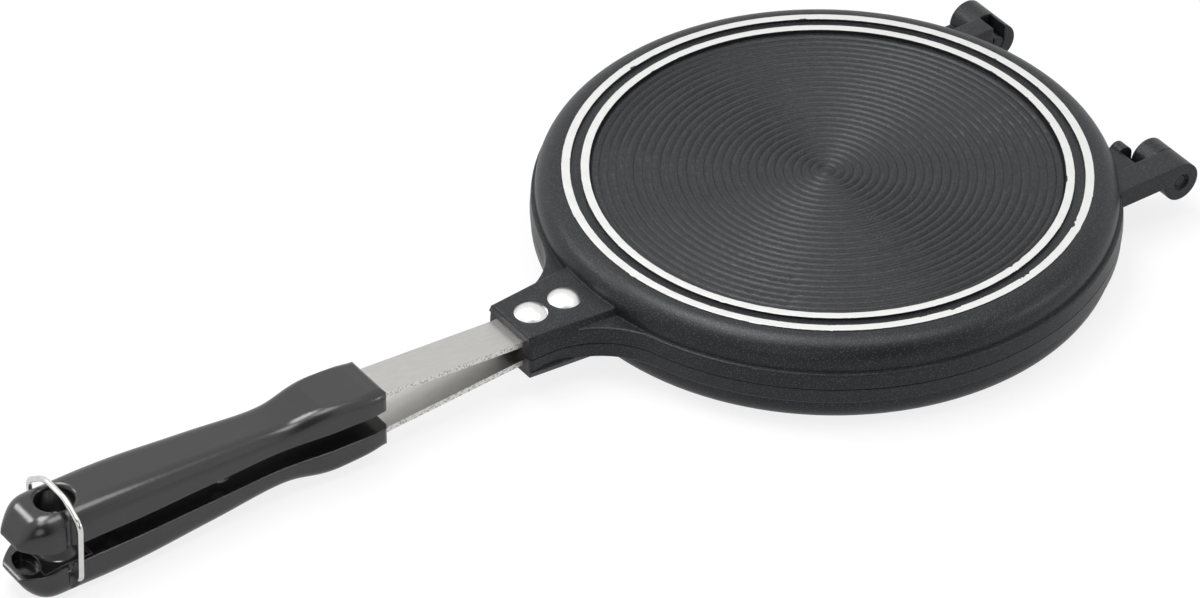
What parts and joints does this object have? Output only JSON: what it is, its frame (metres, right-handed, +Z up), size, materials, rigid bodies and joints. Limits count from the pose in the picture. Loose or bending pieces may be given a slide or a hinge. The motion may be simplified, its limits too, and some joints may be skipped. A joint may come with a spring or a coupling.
{
  "type": "stovetop sandwich maker",
  "caption": "Hinged pair of round ribbed aluminium pans that close face to face, with riveted flat steel stems, black grips and a wire bail that latches the grips.",
  "frame": {"origin": "centre of the lower pan's machined base rings, on the plane they stand on", "axes": "+Z up, -X from the pan's centre towards the grips, +X towards the hinge, hinge axis along Y"},
  "size_m": [0.4339, 0.2, 0.0375],
  "materials": {
    "pan": "dark non-stick coat, bare machined base rings",
    "stem_steel": "rolled satin strip with sheared edges",
    "pin_steel": "coated with the pan",
    "rivet": "bright",
    "phenolic": "gloss moulded phenolic",
    "screw_steel": "zinc plated",
    "wire": "bright plated"
  },
  "bodies": {
    "lower_half": {"lower_pan": "pan", "far_hinge_pin": "pin_steel", "lower_stem": "stem_steel", "lower_front_rivet": "rivet", "lower_rear_rivet": "rivet", "lower_grip": "phenolic", "lower_front_screw": "screw_steel", "lower_rear_screw": "screw_steel"},
    "upper_half": {"upper_pan": "pan", "near_hinge_pin": "pin_steel", "upper_stem": "stem_steel", "upper_front_rivet": "rivet", "upper_rear_rivet": "rivet", "upper_grip": "phenolic", "upper_front_screw": "screw_steel", "upper_rear_screw": "screw_steel"},
    "bail": {"latch_bail": "wire"}
  },
  "joints": [
    {"name": "pan_hinge", "type": "hinge", "parent": "lower_half", "child": "upper_half", "pos_m": [0.1067, 0, 0.01625], "axis": [0, 1, 0], "range_deg": [0, 180]},
    {"name": "bail_swing", "type": "hinge", "parent": "lower_half", "child": "bail", "pos_m": [-0.3031, 0, 0.00805], "axis": [0, -1, 0], "range_deg": [-20, 95]}
  ]
}
